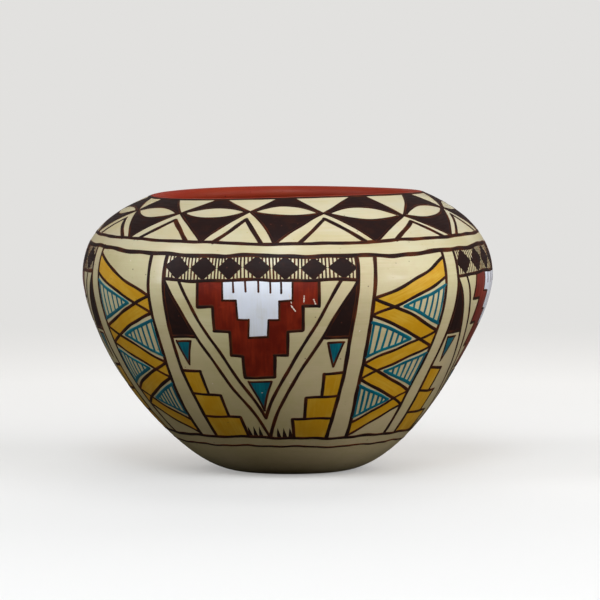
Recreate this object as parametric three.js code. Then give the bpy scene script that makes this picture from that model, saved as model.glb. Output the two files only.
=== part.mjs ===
// Hand-built earthenware bowl with an in-turned shoulder, in millimetres.
// It stands on z = 0 with its axis on z, and is one fired body made the way a coil potter makes it:
// a flat pad of clay for the floor, then pressed coils laid edge on edge up to a rounded lip.
// A cream slip coats the outside, and a red slip lines the inside and folds over the lip.
import * as THREE from "three";

// Outline of the finished outside, from the foot to the lip
const FOOT_RADIUS = 20; // flat disc that the bowl stands on
const BELLY_RADIUS = 70; // widest circle
const BELLY_HEIGHT = 66.5; // height of the widest circle
const MOUTH_RADIUS = 46.3; // circle where the shoulder ends and the lip begins
const SHOULDER_RISE = 28; // from the widest circle up to the mouth circle
const FOOT_ANGLE = 8; // degrees, slope at which the wall leaves the foot
const SHOULDER_ANGLE = 23; // degrees, slope at which the shoulder reaches the lip

// How far each curve keeps its starting direction, as a share of its own reach
const FOOT_FULLNESS = 0.46;
const BELLY_FULLNESS_BELOW = 0.25;
const BELLY_FULLNESS_ABOVE = 0.52;
const SHOULDER_FULLNESS = 0.57;

// Thickness of the clay and of the two slips
const WALL = 5; // clay and both slips together
const FLOOR = 6.5; // the same, at the middle of the base
const FLOOR_FADE = 30; // length of outline over which the floor thins to the wall
const SLIP = 0.4; // one coat of slip
const BOND = 0.3; // space kept between a slip coat and the clay that it covers

// How the clay is laid up
const PAD_REACH = 10; // length of outline, past the foot, that the base pad covers
const WALL_COILS = 4; // coils between the base pad and the lip coil
const LIP_COIL_REACH = 18; // length of outline that the last coil covers
const LAP = 4; // how much lower a joint between coils is on the inside than on the outside
const SEAM = 0.3; // clearance in each joint

// Fineness of the turned surfaces
const AROUND = 48; // facets round the bowl
const STEP = 6; // longest step along the outline
const LIP_STEPS = 6; // steps round the lip

const radians = THREE.MathUtils.degToRad;
const at = (radius, height) => new THREE.Vector2(radius, height);

// The outside outline: a low curve from the foot to the belly, then a tighter one over the shoulder.
function outline() {
  const footRun = FOOT_FULLNESS * (BELLY_RADIUS - FOOT_RADIUS);
  const shoulderRun = SHOULDER_FULLNESS * (BELLY_RADIUS - MOUTH_RADIUS);
  const mouthHeight = BELLY_HEIGHT + SHOULDER_RISE;
  const path = new THREE.CurvePath();
  path.add(
    new THREE.CubicBezierCurve(
      at(FOOT_RADIUS, 0),
      at(FOOT_RADIUS + footRun, footRun * Math.tan(radians(FOOT_ANGLE))),
      at(BELLY_RADIUS, BELLY_HEIGHT * (1 - BELLY_FULLNESS_BELOW)),
      at(BELLY_RADIUS, BELLY_HEIGHT),
    ),
  );
  path.add(
    new THREE.CubicBezierCurve(
      at(BELLY_RADIUS, BELLY_HEIGHT),
      at(BELLY_RADIUS, BELLY_HEIGHT + BELLY_FULLNESS_ABOVE * SHOULDER_RISE),
      at(MOUTH_RADIUS + shoulderRun, mouthHeight - shoulderRun * Math.tan(radians(SHOULDER_ANGLE))),
      at(MOUTH_RADIUS, mouthHeight),
    ),
  );
  return path;
}

const outside = outline();
const LENGTH = outside.getLength();
const BELLY_DISTANCE = outside.curves[0].getLength();

// A point at a distance along the outline, sunk square to it by a depth.
function under(distance, depth) {
  const share = THREE.MathUtils.clamp(distance / LENGTH, 0, 1);
  const point = outside.getPoint(share);
  const along = outside.getTangent(share);
  return at(point.x - along.y * depth, point.y + along.x * depth);
}

// Full thickness at a distance along the outline: thick at the floor, then even.
function thickness(distance) {
  return FLOOR + (WALL - FLOOR) * THREE.MathUtils.smoothstep(distance, 0, FLOOR_FADE);
}

// Points along the outline between two distances, each sunk by depth(distance).
// A run that passes the widest circle has a point on it, so that the bowl keeps its full width.
function run(from, to, depth) {
  const passesBelly = (from - BELLY_DISTANCE) * (to - BELLY_DISTANCE) < 0;
  const stops = passesBelly ? [from, BELLY_DISTANCE, to] : [from, to];
  const points = [under(from, depth(from))];
  for (let i = 1; i < stops.length; i += 1) {
    const steps = Math.max(1, Math.ceil(Math.abs(stops[i] - stops[i - 1]) / STEP));
    for (let j = 1; j <= steps; j += 1) {
      const distance = stops[i - 1] + ((stops[i] - stops[i - 1]) * j) / steps;
      points.push(under(distance, depth(distance)));
    }
  }
  return points;
}

const clayFace = SLIP + BOND; // depth of the clay's outer face
const clayBack = (distance) => thickness(distance) - SLIP - BOND; // depth of its inner face

// The lip is a half circle across the end of the wall, turned in along the shoulder's slope.
// side is 1 at the outer face, 0 at the tip and -1 at the inner face.
function lip(radius, side) {
  const centre = under(LENGTH, WALL / 2);
  const along = outside.getTangent(1);
  const angle = (side * Math.PI) / 2;
  const ahead = radius * Math.cos(angle);
  const outward = radius * Math.sin(angle);
  return at(centre.x + along.x * ahead + along.y * outward, centre.y + along.y * ahead - along.x * outward);
}

function lipArc(radius, from, to) {
  return Array.from({ length: LIP_STEPS + 1 }, (_, i) => lip(radius, from + ((to - from) * i) / LIP_STEPS));
}

// A solid turned about z from a closed outline that runs anticlockwise in (radius, height).
function turned(name, points, material) {
  const closed = points[0].x === 0 ? points : [...points, points[0]];
  const mesh = new THREE.Mesh(new THREE.LatheGeometry(closed, AROUND), material);
  mesh.name = name;
  return mesh;
}

const clay = new THREE.MeshStandardMaterial({ color: 0xa9764c, roughness: 0.9, metalness: 0 });
const creamSlip = new THREE.MeshStandardMaterial({ color: 0xd9cda2, roughness: 0.42, metalness: 0 });
const redSlip = new THREE.MeshStandardMaterial({ color: 0x8e3020, roughness: 0.4, metalness: 0 });

// The base pad: the flat disc, a small step up to where the cream slip starts, and a dished top.
function basePad() {
  const edge = PAD_REACH - SEAM / 2;
  const face = run(0, edge, () => clayFace);
  const back = run(edge - LAP, 0, clayBack);
  return turned("base_pad", [at(0, 0), at(FOOT_RADIUS, 0), ...face, ...back, at(0, back.at(-1).y)], clay);
}

// One coil, pressed to the wall's thickness. Its joints slope down towards the inside.
function wallCoil(name, from, to) {
  const face = run(from + SEAM / 2, to - SEAM / 2, () => clayFace);
  const back = run(to - SEAM / 2 - LAP, from + SEAM / 2 - LAP, clayBack);
  return turned(name, [...face, ...back], clay);
}

// The last coil is rounded over at the lip.
function lipCoil(from) {
  const face = run(from + SEAM / 2, LENGTH, () => clayFace);
  const cap = lipArc(WALL / 2 - clayFace, 1, -1).slice(1, -1);
  const back = run(LENGTH, from + SEAM / 2 - LAP, clayBack);
  return turned("lip_coil", [...face, ...cap, ...back], clay);
}

// The cream coat runs from just outside the foot's disc up to the lip.
function creamCoat() {
  const face = run(SEAM, LENGTH, () => 0);
  const back = run(LENGTH, SEAM, () => SLIP);
  return turned("cream_slip_coat", [...face, ...back], creamSlip);
}

// The red coat covers the floor, the inside of the wall and the whole lip, up to the cream coat.
function redLining() {
  const stop = 1 - SEAM / ((WALL / 2) * (Math.PI / 2));
  const inner = run(0, LENGTH, thickness);
  const innerBack = run(LENGTH, 0, (distance) => thickness(distance) - SLIP);
  const cap = lipArc(WALL / 2, -1, stop).slice(1);
  const capBack = lipArc(WALL / 2 - SLIP, stop, -1).slice(0, -1);
  const points = [at(0, inner[0].y), ...inner, ...cap, ...capBack, ...innerBack, at(0, innerBack.at(-1).y)];
  return turned("red_slip_lining", points.reverse(), redSlip);
}

const bowl = new THREE.Group();
bowl.rotation.x = Math.PI / 2;
bowl.add(basePad());
const firstCoil = PAD_REACH;
const lastCoil = LENGTH - LIP_COIL_REACH;
for (let i = 0; i < WALL_COILS; i += 1) {
  const reach = (lastCoil - firstCoil) / WALL_COILS;
  bowl.add(wallCoil(`wall_coil_${i + 1}`, firstCoil + i * reach, firstCoil + (i + 1) * reach));
}
bowl.add(lipCoil(lastCoil), creamCoat(), redLining());

export default bowl;
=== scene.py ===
"""A small hand-built earthenware bowl, painted by brush with mineral colours on a polished cream slip.

Lengths are in millimetres and angles in degrees until a mesh is written, which is in metres.
A place on the wall is a pair: the angle round the bowl (0 faces the viewer, growing to the viewer's right)
and the distance along the outside, measured from the edge of the foot up to the lip.
"""

import logging
import math
from dataclasses import dataclass, field
from enum import Enum
from functools import cached_property
from typing import Callable, Mapping, Sequence

import bpy
import numpy as np
from mathutils import Euler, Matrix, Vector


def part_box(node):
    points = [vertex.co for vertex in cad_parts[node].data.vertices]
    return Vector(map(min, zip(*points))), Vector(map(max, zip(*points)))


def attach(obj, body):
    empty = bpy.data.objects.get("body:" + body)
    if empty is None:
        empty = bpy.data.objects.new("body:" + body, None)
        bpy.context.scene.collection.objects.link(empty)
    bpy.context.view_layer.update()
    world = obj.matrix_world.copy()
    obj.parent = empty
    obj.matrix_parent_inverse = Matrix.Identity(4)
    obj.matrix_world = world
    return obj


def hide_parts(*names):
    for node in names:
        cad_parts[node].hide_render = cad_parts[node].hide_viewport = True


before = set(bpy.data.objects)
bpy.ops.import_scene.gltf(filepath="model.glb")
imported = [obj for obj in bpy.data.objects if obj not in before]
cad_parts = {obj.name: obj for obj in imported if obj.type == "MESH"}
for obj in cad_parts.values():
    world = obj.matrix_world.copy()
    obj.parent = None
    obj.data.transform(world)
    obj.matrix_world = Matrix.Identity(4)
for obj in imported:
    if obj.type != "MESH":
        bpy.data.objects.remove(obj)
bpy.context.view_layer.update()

METRES = 0.001  # one millimetre in metres
SEED = 20611
TINY = 1e-6  # a length under this counts as none

Array = np.ndarray
Place = tuple[float, float]
Triple = tuple[float, float, float]
Colour = tuple[float, float, float]
Object = bpy.types.Object
Material = bpy.types.Material
Socket = bpy.types.NodeSocket
Value = Socket | float | tuple[float, ...]
Inputs = Mapping[str | int, Value]
Sockets = Mapping[str, Socket]

log = logging.getLogger("bowl")


def smoothstep(value: Array | float) -> Array | float:
    """Ease from 0 to 1: three times the square less twice the cube of the value held between 0 and 1."""
    held = np.clip(value, 0.0, 1.0)
    return held * held * (3.0 - 2.0 * held)


def linear(colour: Colour) -> tuple[float, float, float, float]:
    """Turn a colour given in 8-bit screen values into a linear one with full alpha.

    Args:
        colour: Red, green and blue, each from 0 to 255.

    Returns:
        The four numbers that a colour socket takes.
    """
    share = np.asarray(colour, float) / 255.0
    low = share / 12.92
    high = ((share + 0.055) / 1.055) ** 2.4
    red, green, blue = np.where(share <= 0.04045, low, high)
    return float(red), float(green), float(blue), 1.0


def grid(rows: int, columns: int, rows_meet: bool = False, columns_meet: bool = False) -> Array:
    """List the quads of a grid of points that are numbered row by row.

    Args:
        rows: How many rows of points.
        columns: How many points in each row.
        rows_meet: Whether the last row joins the first.
        columns_meet: Whether each row's last point joins its first.

    Returns:
        Four vertex numbers for each quad: a point, the next row's, the one beside that, the one beside it.
    """
    here = np.arange(rows if rows_meet else rows - 1)[:, None]
    near = np.arange(columns if columns_meet else columns - 1)[None, :]
    ahead, beside = (here + 1) % rows, (near + 1) % columns
    corners = ((here, near), (ahead, near), (ahead, beside), (here, beside))
    return np.stack([row * columns + column for row, column in corners], axis=-1).reshape(-1, 4)


def triangles(quads: Array) -> Array:
    """Cut each quad in two."""
    return np.vstack([quads[:, [0, 1, 2]], quads[:, [0, 2, 3]]])


def write_mesh(
    name: str, points: Array, faces: Array, marks: Array | None = None, load: Array | None = None
) -> Object:
    """Put a mesh of triangles or quads into the scene.

    Args:
        name: Name of the object and its mesh.
        points: One row of x, y and z for each vertex, in millimetres.
        faces: One row of vertex numbers for each face, anticlockwise seen from outside.
        marks: Brush coordinates of each vertex, kept as a UV map.
        load: How thickly each vertex is painted, kept as an attribute.

    Returns:
        The new object, at the origin.
    """
    mesh = bpy.data.meshes.new(name)
    mesh.vertices.add(len(points))
    mesh.vertices.foreach_set("co", (points * METRES).astype(np.float32).ravel())
    mesh.loops.add(faces.size)
    mesh.loops.foreach_set("vertex_index", faces.astype(np.int32).ravel())
    mesh.polygons.add(len(faces))
    mesh.polygons.foreach_set("loop_start", np.arange(0, faces.size, faces.shape[1], dtype=np.int32))
    mesh.polygons.foreach_set("use_smooth", np.ones(len(faces), dtype=bool))
    if marks is not None:
        layer = mesh.uv_layers.new(name="brush")
        layer.data.foreach_set("uv", marks[faces.ravel()].astype(np.float32).ravel())
    if load is not None:
        thickness = mesh.attributes.new("load", "FLOAT", "POINT")
        thickness.data.foreach_set("value", load.astype(np.float32))
    mesh.update(calc_edges=True)
    made = bpy.data.objects.new(name, mesh)
    bpy.context.scene.collection.objects.link(made)
    return made


def dress(piece: Object, material: Material, node: str | None = None) -> None:
    """Give a piece its finish, hang it on the root body and hide the CAD node that it stands for.

    Args:
        piece: The object.
        material: Its finish.
        node: The CAD node that it stands for, if any.
    """
    piece.data.materials.append(material)
    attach(piece, "root")
    if node:
        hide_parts(node)
    log.info("%s: %d faces, finish %s", piece.name, len(piece.data.polygons), material.name)


@dataclass(frozen=True)
class Handwork:
    """How far a hand-built wall strays from a turned one."""

    height: float
    lean: tuple[float, ...] = (-0.07, 0.26, 0.37, 0.40)  # sideways drift: mean, then 1 to 3 half waves
    lobes: tuple[Triple, ...] = ((2, 0.16, 40.0), (3, 0.11, 205.0), (5, 0.06, 110.0))  # waves, size, crest
    dents: tuple[tuple[int, float, float, float], ...] = (
        (9, 0.030, 31.0, 0.6),
        (14, 0.022, -19.0, 2.1),
        (23, 0.010, 11.0, 4.0),
        (37, 0.006, -7.0, 1.3),
    )  # waves round the bowl, depth, height over which they turn once, phase
    full_from: float = 30.0  # radius from which lobes and dents have their full size
    lip_lobes: tuple[Triple, ...] = ((1, 0.75, 78.0), (2, 0.375, 24.0))  # the lip's rise and fall
    level_up_to: float = 75.0  # height at which that starts

    @staticmethod
    def waves(turn: Array, lobes: Sequence[Triple]) -> Array:
        """Sum cosines of the angle, each with its number of waves, its size and where it crests."""
        return sum(size * np.cos(count * (turn - math.radians(crest))) for count, size, crest in lobes)

    def bend(self, points: Array) -> Array:
        """Move points of the turned wall to the hand-built one.

        The axis drifts sideways by a sum of cosines of the height. The radius swells by a few waves round
        the bowl and by shallow dents that turn with the height. Near the lip, the height rises and falls by
        two waves.

        Args:
            points: x, y and z in the last axis.

        Returns:
            The moved points, in the same shape.
        """
        x, y, z = points[..., 0], points[..., 1], points[..., 2]
        turn = np.arctan2(x, -y)
        radius = np.hypot(x, y)
        share = np.clip(z / self.height, 0.0, 1.0)
        drift = sum(size * np.cos(order * math.pi * share) for order, size in enumerate(self.lean))
        swell = self.waves(turn, self.lobes) + sum(
            depth * np.cos(count * turn + 2.0 * math.pi * z / pitch + phase)
            for count, depth, pitch, phase in self.dents
        )
        away = np.clip(radius / self.full_from, 0.0, 1.0)
        stretch = 1.0 + swell * away / np.maximum(radius, TINY)
        rise = smoothstep((z - self.level_up_to) / (self.height - self.level_up_to))
        sway = self.waves(turn, self.lip_lobes)
        return np.stack([x * stretch + drift, y * stretch, z + rise * sway], axis=-1)


@dataclass(frozen=True)
class Form:
    """The wall of the bowl in section, with its sizes in millimetres."""

    belly_radius: float
    mouth_height: float
    foot_radius: float = 20.0
    belly_height: float = 66.5
    mouth_radius: float = 46.3
    foot_angle: float = 8.0
    shoulder_angle: float = 23.0
    foot_fullness: float = 0.46
    belly_fullness_below: float = 0.25
    belly_fullness_above: float = 0.52
    shoulder_fullness: float = 0.57
    wall: float = 5.0
    floor: float = 6.5
    floor_fade: float = 30.0
    slip: float = 0.4
    bond: float = 0.05
    around: int = 320  # facets round the bowl
    step: float = 1.4  # longest step along a face that shows
    coil_step: float = 2.5  # the same on a coil, which the slips cover
    hidden_step: float = 5.0  # the same on the back of a slip
    samples: int = 900  # points on each curve of the outline

    @classmethod
    def from_frame(cls) -> "Form":
        """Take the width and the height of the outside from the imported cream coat."""
        low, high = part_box("cream_slip_coat")
        return cls(belly_radius=high.x / METRES, mouth_height=high.z / METRES)

    @cached_property
    def handwork(self) -> Handwork:
        """The unevenness of this bowl."""
        return Handwork(height=self.mouth_height)

    @cached_property
    def outline(self) -> tuple[Array, Array, Array]:
        """Work out the outside once.

        It is two cubic curves that meet at the belly with an upright tangent: a low one from the foot, and a
        tighter one over the shoulder.

        Returns:
            Distances, points (radius, height) and unit normals that point out of the wall.
        """
        belly, mouth = self.belly_radius, self.mouth_radius
        foot_run = self.foot_fullness * (belly - self.foot_radius)
        foot_rise = foot_run * math.tan(math.radians(self.foot_angle))
        shoulder_run = self.shoulder_fullness * (belly - mouth)
        shoulder_fall = shoulder_run * math.tan(math.radians(self.shoulder_angle))
        rise = self.mouth_height - self.belly_height
        below = (
            (self.foot_radius, 0.0),
            (self.foot_radius + foot_run, foot_rise),
            (belly, self.belly_height * (1.0 - self.belly_fullness_below)),
            (belly, self.belly_height),
        )
        above = (
            (belly, self.belly_height),
            (belly, self.belly_height + self.belly_fullness_above * rise),
            (mouth + shoulder_run, self.mouth_height - shoulder_fall),
            (mouth, self.mouth_height),
        )
        share = np.linspace(0.0, 1.0, self.samples)[:, None]
        left = 1 - share
        weights = (left**3, 3 * left**2 * share, 3 * left * share**2, share**3)
        low, high = (sum(w * np.array(at) for w, at in zip(weights, curve)) for curve in (below, above))
        points = np.vstack([low, high[1:]])
        distance = np.concatenate([[0.0], np.cumsum(np.hypot(*np.diff(points, axis=0).T))])
        along = np.gradient(points, distance, axis=0)
        along /= np.linalg.norm(along, axis=1, keepdims=True)
        return distance, points, np.stack([along[:, 1], -along[:, 0]], axis=1)

    @property
    def length(self) -> float:
        """Length of the outside from the foot to the lip."""
        return float(self.outline[0][-1])

    def section(self, distance: Array, lift: Array | float = 0.0) -> Array:
        """Find points of the outside, raised square to it.

        Args:
            distance: How far along the outside each point lies.
            lift: How far it is raised.

        Returns:
            Radius and height in the last axis.
        """
        stops, points, normals = self.outline
        columns = [np.interp(distance, stops, points[:, k]) for k in (0, 1)]
        out = [np.interp(distance, stops, normals[:, k]) for k in (0, 1)]
        return np.stack([columns[k] + out[k] * lift for k in (0, 1)], axis=-1)

    def radius(self, distance: Array | float) -> Array | float:
        """Radius of the outside at a distance."""
        return np.interp(distance, self.outline[0], self.outline[1][:, 0])

    def distance_at(self, height: float) -> float:
        """Distance along the outside at which it reaches a height."""
        return float(np.interp(height, self.outline[1][:, 1], self.outline[0]))

    def spin(self, section: Array, turn: Array) -> Array:
        """Carry section points round the axis and apply the handwork.

        Args:
            section: Radius and height in the last axis.
            turn: Angle of each point, in radians.

        Returns:
            x, y and z in the last axis.
        """
        radius, height = section[..., 0], section[..., 1]
        points = np.stack([radius * np.sin(turn), -radius * np.cos(turn), height + 0.0 * turn], axis=-1)
        return self.handwork.bend(points)

    def place(self, angle: Array, distance: Array, lift: Array | float = 0.0) -> Array:
        """Find points in space from angles in degrees, distances and lifts above the slip."""
        return self.spin(self.section(distance, lift), np.radians(angle))

    def thickness(self, distance: Array) -> Array:
        """Thickness of the wall at a distance: the floor's, easing to the wall's."""
        return self.floor + (self.wall - self.floor) * smoothstep(distance / self.floor_fade)

    def run(self, start: float, stop: float, depth: Callable[[Array], Array] | float, step: float) -> Array:
        """List section points from one distance to another, sunk into the wall.

        Args:
            start: The first distance.
            stop: The last one, which may be the smaller.
            depth: How deep they are sunk, as a number or as a function of the distance.
            step: Longest step between them.

        Returns:
            One row of radius and height for each point.
        """
        count = max(2, math.ceil(abs(stop - start) / step) + 1)
        distance = np.linspace(start, stop, count)
        return self.section(distance, -(depth(distance) if callable(depth) else depth))

    def lip(self, radius: float, start: float, stop: float, count: int) -> Array:
        """List section points on the half circle of the lip.

        Args:
            radius: The circle's radius.
            start: Side on which it starts: 1 outside, 0 at the tip and -1 inside.
            stop: Side on which it ends.
            count: How many points.

        Returns:
            One row of radius and height for each point.
        """
        centre = self.section(np.array(self.length), -self.wall / 2)
        normal = self.outline[2][-1]
        along = np.array([-normal[1], normal[0]])
        angle = np.linspace(start, stop, count)[:, None] * math.pi / 2
        return centre + radius * (np.cos(angle) * along + np.sin(angle) * normal)

    def turned(self, name: str, section: Array) -> Object:
        """Turn a closed section into a solid.

        Args:
            name: Name of the piece.
            section: Points (radius, height), anticlockwise, that close on themselves or end on the axis.

        Returns:
            The new object.
        """
        poles = section[0, 0] < TINY
        body = section[1:-1] if poles else section
        rows = len(body)
        turn = np.linspace(0.0, 2.0 * math.pi, self.around, endpoint=False)
        points = self.spin(body[None, :, :], turn[:, None]).reshape(-1, 3)
        faces = triangles(grid(self.around, rows, rows_meet=True, columns_meet=not poles))
        if poles:
            bottom = len(points)
            points = np.vstack([points, self.spin(section[[0, -1]], np.zeros(2))])
            here = np.arange(self.around) * rows
            ahead = np.roll(here, -1)
            start = np.stack([np.full_like(here, bottom), ahead, here], axis=-1)
            end = np.stack([np.full_like(here, bottom + 1), here + rows - 1, ahead + rows - 1], axis=-1)
            faces = np.vstack([faces, start, end])
        return write_mesh(name, points, faces)


class Graph:
    """Adds shader nodes to one tree and links them."""

    def __init__(self, tree: bpy.types.NodeTree) -> None:
        """Keep the tree that the nodes go into."""
        self.tree = tree

    def node(self, kind: str, inputs: Inputs | None = None, **settings: object) -> bpy.types.Node:
        """Add a node.

        Args:
            kind: Its type, without the word ShaderNode in front.
            inputs: What its inputs are fed.
            settings: The node's own properties.

        Returns:
            The node.
        """
        made = self.tree.nodes.new(f"ShaderNode{kind}")
        for name, value in settings.items():
            setattr(made, name, value)
        self.feed(made, inputs or {})
        return made

    def feed(self, node: bpy.types.Node, inputs: Inputs) -> None:
        """Link outputs to a node's inputs, or set them to plain values.

        Args:
            node: The node.
            inputs: A socket to link from, or a plain value, for each input by name or number.
        """
        for key, value in inputs.items():
            if isinstance(value, Socket):
                self.tree.links.new(value, node.inputs[key])
            else:
                node.inputs[key].default_value = value

    def maths(self, operation: str, *values: Value) -> Socket:
        """Add a step of arithmetic on one to three values."""
        return self.node("Math", dict(enumerate(values)), operation=operation).outputs[0]

    def times(self, first: Value, second: Value) -> Socket:
        """Multiply two values."""
        return self.maths("MULTIPLY", first, second)

    def total(self, *parts: tuple[Value, float]) -> Socket:
        """Add up values, each times its weight.

        Args:
            parts: Each value and its weight.

        Returns:
            Their sum.
        """
        total: Value = 0.0
        for value, weight in parts:
            total = self.maths("MULTIPLY_ADD", value, weight, total)
        return total

    def stretch(self, vector: Socket, scale: Triple) -> Socket:
        """Scale a vector along each axis."""
        return self.node("Mapping", {"Vector": vector, "Scale": scale}).outputs[0]

    def enlarge(self, vector: Socket, scale: Value) -> Socket:
        """Scale a vector along all its axes alike."""
        return self.node("VectorMath", {0: vector, "Scale": scale}, operation="SCALE").outputs[0]

    def noise(self, vector: Socket, scale: Value, detail: float = 3.0, roughness: float = 0.5) -> Socket:
        """Add soft noise between 0 and 1."""
        inputs = {"Vector": vector, "Scale": scale, "Detail": detail, "Roughness": roughness}
        return self.node("TexNoise", inputs).outputs["Fac"]

    def ramp(self, value: Value, low: float, high: float, start: float = 0.0, end: float = 1.0) -> Socket:
        """Ease a value from start to end as it goes from low to high."""
        inputs = {"Value": value, "From Min": low, "From Max": high, "To Min": start, "To Max": end}
        return self.node("MapRange", inputs, interpolation_type="SMOOTHSTEP").outputs[0]

    def layers(self, ground: Colour, *coats: tuple[Value, Colour]) -> Socket:
        """Lay colours over a ground, one after the other.

        Args:
            ground: The colour beneath, in screen values.
            coats: The share to which each colour covers what is beneath it, and the colour.

        Returns:
            The colour that shows.
        """
        shown: Value = linear(ground)
        for share, colour in coats:
            inputs = {0: share, 6: shown, 7: linear(colour)}
            shown = self.node("Mix", inputs, data_type="RGBA").outputs[2]
        return shown


class Surface:
    """A material in the making: its nodes, its Principled shader and what its patterns are laid out on."""

    def __init__(self, name: str) -> None:
        """Start an empty material.

        Args:
            name: Its name.
        """
        self.material = bpy.data.materials.new(name)
        self.material.use_nodes = True
        self.material.node_tree.nodes.clear()
        self.graph = Graph(self.material.node_tree)
        self.shader = self.graph.node("BsdfPrincipled")
        self.output = self.graph.node("OutputMaterial", {"Surface": self.shader.outputs[0]})
        coordinates = self.graph.node("TexCoord").outputs
        self.vector, self.brushed = coordinates["Object"], coordinates["UV"]

    def finish(self, relief: Socket, depth: float, inputs: Inputs, strength: float = 1.0) -> Material:
        """Give the shader its inputs and its relief.

        Args:
            relief: Height that changes over the surface.
            depth: Depth of its marks, in millimetres.
            inputs: A link or a plain value for each other input of the shader.
            strength: How much of the relief shows.

        Returns:
            The material.
        """
        bump = self.graph.node("Bump", {"Height": relief, "Distance": depth * METRES, "Strength": strength})
        self.graph.feed(self.shader, {**inputs, "Normal": bump.outputs[0]})
        return self.material


class Effect(Enum):
    """The effects that several finishes share, each a node group."""

    MOTTLE = "mottle"
    RUBBING = "stone_rubbing"
    PITS = "pits_and_specks"
    BRUSH = "brush_hairs"
    WEAR = "handling_wear"


class Effects:
    """Builds each shared node group once and places it in a material."""

    def __init__(self) -> None:
        """Build all the groups, each from its maker and the defaults of its inputs."""
        self.groups: dict[Effect, bpy.types.NodeTree] = {}
        self.group(Effect.MOTTLE, self.mottle, Scale=20.0)
        self.group(Effect.RUBBING, self.rubbing, Across=1.0)
        self.group(Effect.PITS, self.pits, Scale=260.0, Size=0.10, Share=0.12)
        self.group(Effect.BRUSH, self.brush, Hairs=1.0)
        self.group(Effect.WEAR, self.wear, Height=0.066, Spread=0.02)

    def group(self, effect: Effect, make: Callable[[Graph, Sockets], Sockets], **numbers: float) -> None:
        """Build one group.

        Args:
            effect: Which one.
            make: Adds its nodes between its inputs and its outputs.
            numbers: The name and default of each input besides Vector.
        """
        tree = bpy.data.node_groups.new(effect.value, "ShaderNodeTree")
        tree.interface.new_socket("Vector", in_out="INPUT", socket_type="NodeSocketVector")
        for name, default in numbers.items():
            socket = tree.interface.new_socket(name, in_out="INPUT", socket_type="NodeSocketFloat")
            socket.default_value = default
        graph = Graph(tree)
        marks = make(graph, tree.nodes.new("NodeGroupInput").outputs)
        for name in marks:
            tree.interface.new_socket(name, in_out="OUTPUT", socket_type="NodeSocketFloat")
        graph.feed(tree.nodes.new("NodeGroupOutput"), marks)
        self.groups[effect] = tree

    @staticmethod
    def mottle(graph: Graph, given: Sockets) -> Sockets:
        """Make a cloudy change of tone: wide soft patches, with smaller ones inside them.

        Args:
            graph: The group's graph.
            given: Its inputs.

        Returns:
            Its outputs by name.
        """
        wide = graph.noise(given["Vector"], given["Scale"], 2.0)
        small = graph.noise(given["Vector"], graph.times(given["Scale"], 4.3), 4.0)
        return {"Cloud": graph.ramp(wide, 0.34, 0.66), "Patch": graph.ramp(small, 0.3, 0.7)}

    @staticmethod
    def rubbing(graph: Graph, given: Sockets) -> Sockets:
        """Make strokes of a polishing stone: noise drawn out round the bowl, in tracks and in fine lines.

        Args:
            graph: The group's graph.
            given: Its inputs.

        Returns:
            Its outputs by name.
        """
        scaled = graph.enlarge(given["Vector"], given["Across"])
        tracks = graph.noise(graph.stretch(scaled, (22.0, 22.0, 230.0)), 1.0)
        lines = graph.noise(graph.stretch(scaled, (55.0, 55.0, 1500.0)), 1.0, 4.0, 0.65)
        return {"Tracks": tracks, "Lines": lines}

    @staticmethod
    def pits(graph: Graph, given: Sockets) -> Sockets:
        """Make sparse round pits and dark grit: the middles of a few random cells.

        Args:
            graph: The group's graph.
            given: Its inputs.

        Returns:
            Its output by name.
        """
        cells = graph.node("TexVoronoi", {"Vector": given["Vector"], "Scale": given["Scale"]}).outputs
        dot = graph.ramp(graph.maths("DIVIDE", cells["Distance"], given["Size"]), 1.0, 0.55)
        pick = graph.node("SeparateColor", {0: cells["Color"]}).outputs[0]
        return {"Pits": graph.times(dot, graph.maths("LESS_THAN", pick, given["Share"]))}

    @staticmethod
    def brush(graph: Graph, given: Sockets) -> Sockets:
        """Make the marks of the brush's hairs along each stroke, and the slow change of its load of paint.

        The first brush coordinate runs across the stroke and the second along it, both in centimetres.

        Args:
            graph: The group's graph.
            given: Its inputs.

        Returns:
            Its outputs by name.
        """
        scaled = graph.enlarge(given["Vector"], given["Hairs"])
        hairs = graph.noise(graph.stretch(scaled, (14.0, 0.9, 1.0)), 1.0, 4.0, 0.6)
        flow = graph.noise(graph.stretch(scaled, (1.5, 0.8, 1.0)), 1.0)
        return {"Hairs": graph.ramp(hairs, 0.30, 0.70), "Flow": graph.ramp(flow, 0.32, 0.68)}

    @staticmethod
    def wear(graph: Graph, given: Sockets) -> Sockets:
        """Make scuffs from handling: broken patches, strongest near a height and fading over a spread.

        Args:
            graph: The group's graph.
            given: Its inputs.

        Returns:
            Its output by name.
        """
        height = graph.node("SeparateXYZ", {0: given["Vector"]}).outputs[2]
        off = graph.maths("ABSOLUTE", graph.maths("SUBTRACT", height, given["Height"]))
        band = graph.ramp(graph.maths("DIVIDE", off, given["Spread"]), 1.0, 0.0)
        broken = graph.noise(graph.stretch(given["Vector"], (1.0, 1.0, 2.6)), 190.0, 6.0, 0.72)
        return {"Scuffs": graph.times(band, graph.ramp(broken, 0.56, 0.70))}

    def place(self, surface: Surface, effect: Effect, **values: float) -> Sequence[Socket]:
        """Place a group in a material. The brush's marks follow the strokes, and all others the bowl.

        Args:
            surface: The material.
            effect: Which group.
            values: Its inputs besides Vector, by name.

        Returns:
            The outputs of the placed group.
        """
        made = surface.graph.node("Group", node_tree=self.groups[effect])
        vector = surface.brushed if effect is Effect.BRUSH else surface.vector
        surface.graph.feed(made, {"Vector": vector, **values})
        return made.outputs


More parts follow.
